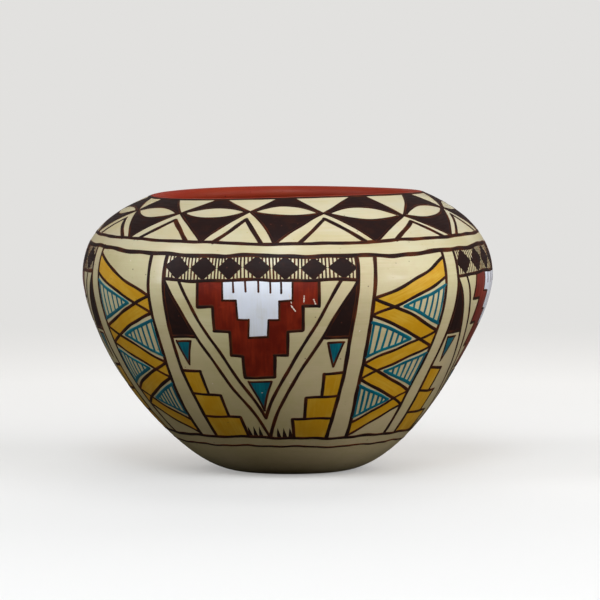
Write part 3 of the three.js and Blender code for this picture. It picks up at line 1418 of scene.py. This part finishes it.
@dataclass(frozen=True)
class BodyBand:
    """The wide band: upright cream bars, with wide and narrow panels of plain geometric figures between."""

    form: Form
    top_height: float = 76.5
    low_height: float = 14.5
    lowest_height: float = 11.3
    wide_half: float = 30.0  # half the angle of a wide panel, and of a narrow one
    narrow_half: float = 15.0
    first_middle: float = -8.0  # angle of the middle of the first wide panel
    repeats: int = 4
    bar: float = 6.4
    strip_foot: float = 0.885  # in a wide panel, the lower line of the strip of diamonds
    strip_diamonds: int = 7
    inner_top: float = 0.84  # where the V's inner lines start on that line, and how high they meet
    inner_foot: float = 0.135
    red_steps: tuple[Place, ...] = ((0.125, 0.62), (0.125, 0.46), (0.125, 0.31), (0.125, 0.17))
    white_steps: tuple[Place, ...] = ((0.095, 0.36), (0.09, 0.22), (0.09, 0.10))
    white_height: float = 0.048  # of the white paint over the slip, so that it covers the red
    ticks: tuple[float, ...] = (-0.24, -0.12, 0.0, 0.12, 0.24)
    tick_length: float = 0.055
    stairs: tuple[float, ...] = (0.40, 0.58, 0.76)  # where each stair of a corner starts
    stair_rise: float = 0.135
    wedge: Place = (0.60, 0.86)  # foot and top of the dark triangle over the stairs
    spikes: tuple[float, ...] = (0.125, 0.215, 0.305)
    spike_half: float = 0.042
    spike_height: float = 0.075
    zigzag: Place = (0.97, 0.10)  # in a narrow panel, the first and last turn of the zigzag's upper edge
    zigzag_turns: int = 6
    zigzag_width: float = 0.085
    bay_gap: float = 0.035  # from the zigzag to the hatching in its bays
    bay_reach: float = 0.62  # how far a bay reaches towards the other bar
    bay_lines: int = 7

    def paint(self, canvas: Canvas) -> None:
        """Draw the bars and both kinds of panel all round the bowl, then the framing lines.

        Args:
            canvas: Where it is drawn.
        """
        low, high = self.form.distance_at(self.low_height), self.form.distance_at(self.top_height)
        for i in range(self.repeats):
            middle = self.first_middle + i * 2 * (self.wide_half + self.narrow_half)
            beside = middle + self.wide_half + self.narrow_half
            wide = Panel(canvas, middle, self.wide_half, low, high, self.bar)
            narrow = Panel(canvas, beside, self.narrow_half, low, high, self.bar)
            self.wide(wide)
            self.narrow(narrow, 1 if i % 2 else -1)
            for panel in (wide, narrow):
                for side in (-1, 1):
                    panel.line(BOLD, (side, 0.0), (side, 1.0), parts=24)
        canvas.ring(high, Brush(1.62, load=1.05, sway=0.12), 96.0)
        canvas.ring(low, Brush(1.50, load=1.0, sway=0.12), 200.0)
        canvas.ring(self.form.distance_at(self.lowest_height), Brush(1.05, load=0.75, sway=0.14), 230.0)

    def wide(self, panel: Panel) -> None:
        """Draw a wide panel: a strip of diamonds on top, a hanging terrace in a V, and steps in its corners.

        Args:
            panel: The panel.
        """
        foot = self.strip_foot
        self.strip(panel)
        for side in (-1, 1):
            panel.line(LINE, (side, foot), (0.0, 0.0), parts=24)
            panel.line(LINE, (side * self.inner_top, foot), (0.0, self.inner_foot), parts=24)
        self.terrace(panel, self.red_steps, Paint.RED, LINE, Canvas.FIELD_HEIGHT)
        self.terrace(panel, self.white_steps, Paint.WHITE, FINE, self.white_height)
        for tick in self.ticks:
            panel.line(FINE, (tick, foot), (tick, foot - self.tick_length))
        panel.drop((-0.135, 0.36), (0.135, 0.36), (0.0, 0.185))
        for side in (-1, 1):
            self.corner(panel, side)

    def strip(self, panel: Panel) -> None:
        """Draw a chain of dark diamonds between two lines, with upright hatching over and under them.

        Args:
            panel: The wide panel.
        """
        low = self.strip_foot
        middle = (low + 1.0) / 2
        panel.line(LINE, (-1.0, low), (1.0, low), parts=24)
        tips = np.linspace(-1.0, 1.0, self.strip_diamonds + 1)
        spans = [(left, (left + right) / 2, right) for left, right in zip(tips, tips[1:])]
        for left, centre, right in spans:
            over, under = (((left, middle), (centre, edge), (right, middle)) for edge in (1.0, low))
            panel.fill(Paint.DARK, over, under, parts=4)
        for edge in (1.0, low):
            for left, centre, right in spans:
                for near in (left, right):
                    ends, feet = (panel.at(((near, up), (centre, edge)), 2) for up in (edge, middle))
                    panel.canvas.hatch(ends, feet, 4, HAIR, Paint.DARK)

    def terrace(
        self, panel: Panel, steps: Sequence[Place], paint: Paint, brush: Brush, height: float
    ) -> None:
        """Draw a stepped figure that hangs from the strip, its fill a little inside the flat of each step.

        Args:
            panel: The wide panel.
            steps: Height and half width of each step, from the top down.
            paint: The paint that fills it.
            brush: The brush for its edge.
            height: Height of the fill over the slip.
        """
        outline: list[Place] = []
        filled: list[Place] = []
        level = self.strip_foot
        inside = 0.005
        for fall, half in steps:
            outline += [(half, level), (half, level - fall)]
            filled += [(half, level - inside), (half, level - fall + inside)]
            level -= fall
        left, right = ([(side * half, up) for half, up in filled] for side in (-1, 1))
        panel.fill(paint, left, right, height=height, step=0.8)
        outline.append((0.0, level))
        for side in (-1, 1):
            for (x0, y0), (x1, y1) in zip(outline, outline[1:]):
                panel.line(brush, (side * x0, y0), (side * x1, y1))

    def corner(self, panel: Panel, side: int) -> None:
        """Draw one side of the panel beside the V.

        Yellow stairs climb to the bar, with a dark triangle and a small turquoise one over them and dark
        spikes at their foot.

        Args:
            panel: The wide panel.
            side: -1 for the left and 1 for the right.
        """
        for i, start in enumerate(self.stairs):
            low, high = i * self.stair_rise, i * self.stair_rise + self.stair_rise
            stair = ((side * start, low), (side * start, high))
            panel.fill(Paint.YELLOW, stair, ((side, low), (side, high)))
            panel.line(LINE, *stair)
            panel.line(LINE, (side * start, high), (side, high))
        foot, top = self.wedge
        near = foot / self.strip_foot + 0.012
        panel.fill(Paint.DARK, ((side * near, foot), (side * 0.97, top)), ((side, foot), (side, top)))
        panel.line(LINE, (side * near, foot), (side, foot))
        panel.drop((side * 0.76, 0.575), (side * 0.94, 0.575), (side * 0.86, 0.445))
        for start in self.spikes:
            middle, stop = side * (start + self.spike_half), side * (start + 2 * self.spike_half)
            over, under = (
                ((side * start, 0.0), (middle, up), (stop, 0.0)) for up in (self.spike_height, 0.0)
            )
            panel.fill(Paint.DARK, over, under, parts=3)

    def narrow(self, panel: Panel, side: int) -> None:
        """Draw a narrow panel: a yellow zigzag from bar to bar, with turquoise hatching in its bays.

        Args:
            panel: The panel.
            side: Which bar the zigzag's second turn touches, -1 for the left one and 1 for the right one.
        """
        levels = np.linspace(*self.zigzag, self.zigzag_turns)
        upper = [(side * (1 if i % 2 else -1), level) for i, level in enumerate(levels)]
        lower = [(across, level - self.zigzag_width) for across, level in upper]
        for first, second in zip(zip(upper, upper[1:]), zip(lower, lower[1:])):
            panel.fill(Paint.YELLOW, first, second)
        for chain in (upper, lower):
            for ends in zip(chain, chain[1:]):
                panel.line(LINE, *ends, parts=12)
        for above, turn, below in zip(lower, upper[1:], upper[2:]):
            self.bay(panel, above, below, turn[0])

    def bay(self, panel: Panel, above: Place, below: Place, opposite: float) -> None:
        """Fill one bay of the zigzag with bold turquoise hatching inside a turquoise edge.

        Args:
            panel: The narrow panel.
            above: Corner of the zigzag on the bar, over the bay.
            below: Corner of the zigzag on the bar, under it.
            opposite: The other bar's side, towards which the bay narrows.
        """
        bar, high, low = above[0], above[1] - self.bay_gap, below[1] + self.bay_gap
        tip = (bar + (opposite - bar) * self.bay_reach, (high + low) / 2)
        edges = [panel.at(((bar, end), tip)) for end in (high, low)]
        panel.canvas.hatch(*edges, self.bay_lines, BAY_LINE, Paint.TURQUOISE)
        for edge in edges:
            panel.canvas.line(edge, LINE, Paint.TURQUOISE)


@dataclass(frozen=True)
class Chips:
    """Small losses in the paint on the side that faces the viewer, where the slip shows."""

    form: Form
    spots: tuple[tuple[float, float, float, float], ...] = (
        (1.6, 61.2, 3.4, -16.0),
        (2.7, 58.4, 2.6, -34.0),
        (4.8, 61.2, 2.4, 3.0),
        (7.9, 60.6, 1.9, -20.0),
        (0.2, 49.8, 1.6, 22.0),
    )  # angle, height, length in millimetres and slant in degrees
    least: tuple[float, ...] = (-180.0, 22.0, 0.25, -60.0)  # the same for tiny ones all round the bowl
    most: tuple[float, ...] = (180.0, 78.0, 0.60, 60.0)
    specks: int = 26  # how many of them

    def paint(self, canvas: Canvas) -> None:
        """Draw each chip as a short broken fleck.

        Args:
            canvas: Where it is drawn.
        """
        specks = canvas.random.uniform(self.least, self.most, (self.specks, 4))
        for angle, height, length, slant in (*self.spots, *specks):
            distance = self.form.distance_at(height)
            lean = math.radians(slant)
            across = math.degrees(length * math.sin(lean) / float(self.form.radius(distance)))
            path = [(angle, distance), (angle + across, distance + length * math.cos(lean))]
            width = 0.52 if length > 1.0 else 0.30
            edge = Brush(width, crown=0.050, swell=0.75, restless=9.0, overshoot=0.0, step=0.2)
            canvas.line(path, edge, Paint.BARE, "flecks")


@dataclass(frozen=True)
class Vessel:
    """The clay body with its two coats of slip."""

    form: Form
    pad_reach: float = 10.0
    coils: int = 4
    lip_coil_reach: float = 18.0
    lap: float = 4.0
    seam: float = 0.3
    foot_edge: float = 0.4  # rounding of the foot's disc
    lining_stop: float = 0.985  # side of the lip at which the red coat meets the cream one

    @property
    def clay_face(self) -> float:
        """Depth of the clay's outer face, just under the cream slip."""
        return self.form.slip + self.form.bond

    def clay_back(self, distance: Array) -> Array:
        """Depth of the clay's inner face, just under the red slip."""
        return self.form.thickness(distance) - self.form.slip - self.form.bond

    def lining_back(self, distance: Array) -> Array:
        """Depth of the red slip's face on the clay."""
        return self.form.thickness(distance) - self.form.slip

    def cream_coat(self) -> Object:
        """Build the cream coat: from just outside the foot's disc up to the lip.

        Returns:
            The piece.
        """
        form = self.form
        face = form.run(self.seam, form.length, 0.0, form.step)
        back = form.run(form.length, self.seam, form.slip, form.hidden_step)
        return form.turned("cream_slip_coat_polished", np.vstack([face, back]))

    def red_lining(self) -> Object:
        """Build the red coat: floor, inside of the wall and the whole lip.

        Returns:
            The piece.
        """
        form = self.form
        face = form.run(0.0, form.length, form.thickness, form.step)
        cap = form.lip(form.wall / 2, -1.0, self.lining_stop, 18)[1:]
        back_cap = form.lip(form.wall / 2 - form.slip, self.lining_stop, -1.0, 8)[:-1]
        back = form.run(form.length, 0.0, self.lining_back, form.hidden_step)
        middle = face[0] * np.array([0.0, 1.0])
        floor = middle + (face[0] - middle) * np.linspace(0.0, 1.0, 8, endpoint=False)[:, None]
        under = np.array([[0.0, back[-1, 1]]])
        section = np.vstack([floor, face, cap, back_cap, back, under])
        return form.turned("red_slip_lining_polished", section[::-1])

    def base_pad(self) -> Object:
        """Build the pad: a flat disc with a rounded edge, a face under the cream coat and a dished top.

        Returns:
            The piece.
        """
        form = self.form
        edge = self.pad_reach - self.seam / 2
        hub = np.linspace(0.0, form.foot_radius - self.foot_edge, 9)
        disc = np.stack([hub, 0.0 * hub], axis=1)
        corner = np.array([[form.foot_radius - 0.12, 0.10], [form.foot_radius, self.foot_edge * 0.8]])
        face = form.run(self.foot_edge, edge, self.clay_face, form.step)
        back = form.run(edge - self.lap, 0.0, self.clay_back, form.step)
        top = np.array([[0.0, back[-1, 1]]])
        return form.turned("base_pad_clay", np.vstack([disc, corner, face, back, top]))

    def wall_coil(self, name: str, start: float, stop: float) -> Object:
        """Build one pressed coil, whose joints slope down towards the inside.

        Args:
            name: Name of the piece.
            start: Distance of its lower joint on the outside.
            stop: Distance of its upper joint.

        Returns:
            The piece.
        """
        form, gap = self.form, self.seam / 2
        face = form.run(start + gap, stop - gap, self.clay_face, form.coil_step)
        back = form.run(stop - gap - self.lap, start + gap - self.lap, self.clay_back, form.coil_step)
        return form.turned(name, np.vstack([face, back]))

    def lip_coil(self, start: float) -> Object:
        """Build the last coil, rounded over at the lip.

        Args:
            start: Distance of its joint on the outside.

        Returns:
            The piece.
        """
        form, gap = self.form, self.seam / 2
        face = form.run(start + gap, form.length, self.clay_face, form.coil_step)
        cap = form.lip(form.wall / 2 - form.slip - form.bond, 1.0, -1.0, 10)[1:-1]
        back = form.run(form.length, start + gap - self.lap, self.clay_back, form.coil_step)
        return form.turned("lip_coil_clay", np.vstack([face, cap, back]))

    def build(self, effects: Effects) -> None:
        """Build and dress every piece of clay and slip, each in the place of its CAD node.

        Args:
            effects: The shared node groups.
        """
        clay = CLAY.material(effects)
        dress(self.base_pad(), clay, "base_pad")
        first, last = self.pad_reach, self.form.length - self.lip_coil_reach
        reach = (last - first) / self.coils
        for i in range(self.coils):
            node = f"wall_coil_{i + 1}"
            coil = self.wall_coil(f"{node}_clay", first + i * reach, first + (i + 1) * reach)
            dress(coil, clay, node)
        dress(self.lip_coil(last), clay, "lip_coil")
        dress(self.cream_coat(), CREAM.material(effects), "cream_slip_coat")
        dress(self.red_lining(), RED_LINING.material(effects), "red_slip_lining")


@dataclass(frozen=True)
class Lamp:
    """A soft rectangular lamp that faces the bowl, in metres and watts."""

    name: str
    place: Triple
    size: Place
    power: float
    tint: Colour
    mirrored: bool = True  # whether glossy surfaces show it, or only its soft light falls on them
    target: Triple = (0.0, 0.0, 0.05)

    def hang(self) -> None:
        """Put the lamp into the scene, turned towards its target."""
        data = bpy.data.lights.new(self.name, "AREA")
        data.shape = "RECTANGLE"
        data.size, data.size_y = self.size
        data.energy = self.power
        data.color = linear(self.tint)[:3]
        made = bpy.data.objects.new(self.name, data)
        made.location = self.place
        x, y, z = np.array(self.target) - np.array(self.place)
        made.rotation_euler = Euler((math.atan2(math.hypot(x, y), -z), 0.0, math.atan2(y, x) - math.pi / 2))
        made.visible_camera = False
        made.visible_glossy = self.mirrored
        bpy.context.scene.collection.objects.link(made)


@dataclass(frozen=True)
class Studio:
    """Plain floor, soft lights and the camera, in metres."""

    camera_place: Triple = (0.00434, -1.600, 0.1668)
    pitch: float = 3.90  # degrees that the camera looks down
    lens: float = 281.5
    sensor: float = 36.0
    floor_reach: float = 3.2
    floor_bend: float = 1.2
    wall_height: float = 2.5
    floor_sides: int = 128
    foot_hole: float = 0.018  # so that the foot's disc is lit in views from below
    floor_drop: float = 0.00015
    floor_shown: Colour = (244, 240, 232)
    floor_lit: Colour = (56, 51, 43)
    backdrop: Colour = (226, 225, 223)
    near_glow: float = 0.40  # share of the backdrop's own colour in the floor near the bowl
    mirrored: float = 0.22  # share of it that the bowl's gloss picks up
    near_floor: float = 0.10  # radii between which the lit floor passes into the even backdrop
    far_floor: float = 0.70
    air: Colour = (246, 247, 250)
    air_lit: float = 0.05  # strength of the air's light on the bowl
    air_shown: float = 0.75  # how much stronger it is where the camera sees it
    lamps: tuple[Lamp, ...] = (
        Lamp("softbox_front", (-0.06, -0.96, 0.94), (1.70, 0.50), 5.0, (244, 248, 255), mirrored=False),
        Lamp("window_front", (-0.09, -1.04, 1.04), (0.42, 0.76), 7.4, (216, 234, 255)),
        Lamp("card_front", (0.20, -1.40, 0.72), (1.60, 0.50), 5.7, (255, 252, 246)),
        Lamp("softbox_top", (0.10, 0.45, 0.95), (0.80, 0.40), 2.2, (250, 250, 252), mirrored=False),
        Lamp("softbox_left", (-1.00, -0.40, 0.80), (0.60, 0.50), 4.1, (246, 248, 255)),
        Lamp("softbox_right", (0.98, -0.40, 0.72), (1.10, 0.60), 4.3, (246, 248, 255), mirrored=False),
        Lamp("card_right", (1.20, -0.44, 0.40), (0.80, 0.60), 7.4, (236, 240, 255), mirrored=False),
        Lamp("softbox_back", (0.15, 1.15, 0.62), (1.20, 0.45), 8.5, (250, 250, 252), mirrored=False),
        Lamp("window_left", (-1.31, -0.44, 0.38), (0.16, 0.66), 3.8, (232, 238, 252)),
        Lamp("window_right", (1.24, -0.66, 0.22), (0.30, 0.16), 1.2, (240, 240, 250)),
    )

    def camera(self) -> None:
        """Set the camera where the photographer's stood."""
        data = bpy.data.cameras.new("camera")
        data.lens = self.lens
        data.sensor_width = self.sensor
        data.clip_start, data.clip_end = 0.05, 30.0
        made = bpy.data.objects.new("camera", data)
        made.location = self.camera_place
        made.rotation_euler = Euler((math.radians(90.0 - self.pitch), 0.0, 0.0))
        bpy.context.scene.collection.objects.link(made)
        bpy.context.scene.camera = made

    def floor(self) -> None:
        """Build a round floor that curves up all round into a wall.

        A profile of a flat run, a quarter circle and an upright run is turned about the axis.
        It starts a little way out, under the foot.
        """
        bend, inner = self.floor_bend, self.floor_reach - self.floor_bend
        flat = np.array([self.foot_hole, 0.15, 0.4, 1.0, inner])
        quarter = np.linspace(0.0, math.pi / 2, 17)[1:]
        radius = np.concatenate([flat, inner + bend * np.sin(quarter), [self.floor_reach]])
        height = np.concatenate([0.0 * flat, bend * (1 - np.cos(quarter)), [self.wall_height]])
        height = height - self.floor_drop
        turn = np.linspace(0.0, 2 * math.pi, self.floor_sides, endpoint=False)[:, None]
        points = np.stack([radius * np.cos(turn), radius * np.sin(turn), height + 0.0 * turn], -1)
        quads = grid(self.floor_sides, len(radius), rows_meet=True)[:, [0, 3, 2, 1]]
        made = write_mesh("studio_floor", points.reshape(-1, 3) / METRES, quads)
        made.data.materials.append(self.paper())

    def paper(self) -> Material:
        """Build the floor's paper: pale to the camera, even in the distance, and see-through from below.

        Returns:
            The material.
        """
        surface = Surface("studio_paper")
        graph = surface.graph
        ray = graph.node("LightPath").outputs
        direct = graph.maths("MAXIMUM", ray["Is Camera Ray"], ray["Is Transmission Ray"])
        seen = graph.maths("MAXIMUM", direct, graph.times(ray["Is Glossy Ray"], self.mirrored))
        inputs = {
            "Base Color": graph.layers(self.floor_lit, (direct, self.floor_shown)),
            "Roughness": 0.9,
            "Specular IOR Level": 0.1,
        }
        material = surface.finish(graph.noise(surface.vector, 900.0, 3.0, 0.55), 0.1, inputs, strength=0.3)
        glow = graph.node("Emission", {"Color": linear(self.backdrop), "Strength": 1.0})
        spot = graph.node("VectorMath", {0: surface.vector}, operation="LENGTH").outputs["Value"]
        away = graph.times(graph.ramp(spot, self.near_floor, self.far_floor), seen)
        share = graph.maths("MAXIMUM", away, graph.times(direct, self.near_glow))
        even = graph.node("MixShader", {0: share, 1: surface.shader.outputs[0], 2: glow.outputs[0]})
        clear = graph.node("BsdfTransparent")
        back = graph.node("NewGeometry").outputs["Backfacing"]
        mixed = graph.node("MixShader", {0: back, 1: even.outputs[0], 2: clear.outputs[0]})
        graph.feed(surface.output, {"Surface": mixed.outputs[0]})
        return material

    def world(self) -> None:
        """Fill the room with a plain soft light, pale behind the floor."""
        made = bpy.data.worlds.new("studio_air")
        made.use_nodes = True
        made.node_tree.nodes.clear()
        graph = Graph(made.node_tree)
        ray = graph.node("LightPath").outputs
        seen = graph.maths("MAXIMUM", ray["Is Camera Ray"], ray["Is Transmission Ray"])
        strength = graph.maths("MULTIPLY_ADD", seen, self.air_shown, self.air_lit)
        air = graph.node("Background", {"Color": linear(self.air), "Strength": strength})
        graph.node("OutputWorld", {"Surface": air.outputs[0]})
        bpy.context.scene.world = made

    def build(self) -> None:
        """Build the whole studio."""
        self.camera()
        self.floor()
        self.world()
        for lamp in self.lamps:
            lamp.hang()
        bpy.context.scene.view_settings.view_transform = "Standard"


def main() -> None:
    """Build the studio, the vessel and its painting."""
    logging.basicConfig(level=logging.INFO, format="%(name)s: %(message)s")
    Studio().build()
    form = Form.from_frame()
    effects = Effects()
    Vessel(form).build(effects)
    finishes = {paint: finish.material(effects) for paint, finish in PAINTS.items()}
    neck = Canvas(form, "neck", SEED, drift=0.14)
    NeckBand(form).paint(neck)
    body = Canvas(form, "body", SEED + 1, drift=0.30)
    BodyBand(form).paint(body)
    Chips(form).paint(body)
    for canvas in (neck, body):
        canvas.build(finishes)


if __name__ == "__main__":
    main()
